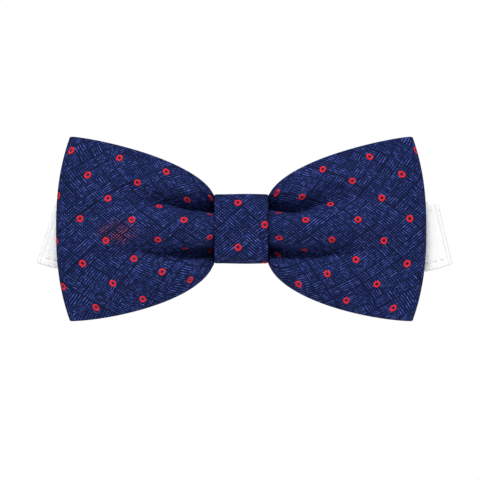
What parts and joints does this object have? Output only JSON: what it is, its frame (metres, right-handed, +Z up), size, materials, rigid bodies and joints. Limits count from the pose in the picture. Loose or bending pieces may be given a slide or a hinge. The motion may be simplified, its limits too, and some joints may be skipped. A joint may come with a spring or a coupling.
{
  "type": "pre-tied bow tie",
  "caption": "Pre-tied bow tie: a pleated woven bow with a wrapped knot, on a folded white neckband with a hook, an eye ring and a slide adjuster.",
  "frame": {"origin": "the middle of the knot's flat back, where the tie rests on the shirt collar", "axes": "+X to the viewer's right along the bow, +Z up as worn, -Y out of the bow's front"},
  "size_m": [0.1349, 0.0237, 0.06],
  "materials": {
    "navy_jacquard": "self-patterned woven navy cloth with small red rings, slight sheen",
    "canvas": "matt woven interlining",
    "white_band": "fine plain weave, matt white",
    "navy_thread": "spun sewing thread",
    "white_thread": "spun sewing thread",
    "nickel": "satin nickel plate"
  },
  "bodies": {
    "bow": {"bow_strip": "navy_jacquard", "bow_interlining": "canvas", "gather_thread": "navy_thread", "knot_band": "navy_jacquard", "knot_padding": "canvas", "knot_stitches": "navy_thread", "neckband_centre": "white_band", "left_outer_fold": "white_band", "right_outer_fold": "white_band"},
    "left_middle": {"left_middle_run": "white_band", "left_inner_fold": "white_band"},
    "left_end": {"left_end_run": "white_band", "left_end_tack": "white_thread"},
    "hook": {"hook": "nickel"},
    "right_middle": {"right_middle_run": "white_band", "right_inner_fold": "white_band"},
    "right_end": {"right_end_run": "white_band"},
    "adjuster": {"slide_adjuster": "nickel", "right_return_run": "white_band", "return_tack": "white_thread"},
    "eye_turn": {"eye_loop": "white_band"},
    "eye": {"eye_ring": "nickel"}
  },
  "joints": [
    {"name": "left_outer_unfold", "type": "hinge", "parent": "bow", "child": "left_middle", "pos_m": [-0.0619, -0.0014, -0.0009], "axis": [0.3057, 0, 0.9521], "range_deg": [0, 180]},
    {"name": "left_inner_unfold", "type": "hinge", "parent": "left_middle", "child": "left_end", "pos_m": [-0.0126, 0.0006, -0.0015], "axis": [0, 0, -1], "range_deg": [0, 180]},
    {"name": "hook_swivel", "type": "hinge", "parent": "left_end", "child": "hook", "pos_m": [-0.048, 0.0039, -0.0015], "axis": [0, 0, -1], "range_deg": [-15, 75]},
    {"name": "right_outer_unfold", "type": "hinge", "parent": "bow", "child": "right_middle", "pos_m": [0.065, -0.0014, -0.0012], "axis": [0.2317, 0, -0.9728], "range_deg": [0, 180]},
    {"name": "right_inner_unfold", "type": "hinge", "parent": "right_middle", "child": "right_end", "pos_m": [0.0126, 0.0006, -0.0015], "axis": [0, 0, 1], "range_deg": [0, 180]},
    {"name": "adjuster_slide", "type": "slide", "parent": "right_end", "child": "adjuster", "axis": [-1, 0, 0], "range_m": [0, 0.013]},
    {"name": "eye_follow", "type": "slide", "parent": "adjuster", "child": "eye_turn", "axis": [1, 0, 0], "range_m": [0, 0.0065]},
    {"name": "eye_swivel", "type": "hinge", "parent": "eye_turn", "child": "eye", "pos_m": [0.049, 0.0039, -0.0015], "axis": [0, 0, 1], "range_deg": [-15, 75]}
  ],
  "couplings": [
    {"joint": "left_inner_unfold", "follows": "left_outer_unfold", "ratio": 1},
    {"joint": "right_inner_unfold", "follows": "right_outer_unfold", "ratio": 1},
    {"joint": "eye_follow", "follows": "adjuster_slide", "ratio": 0.5}
  ]
}
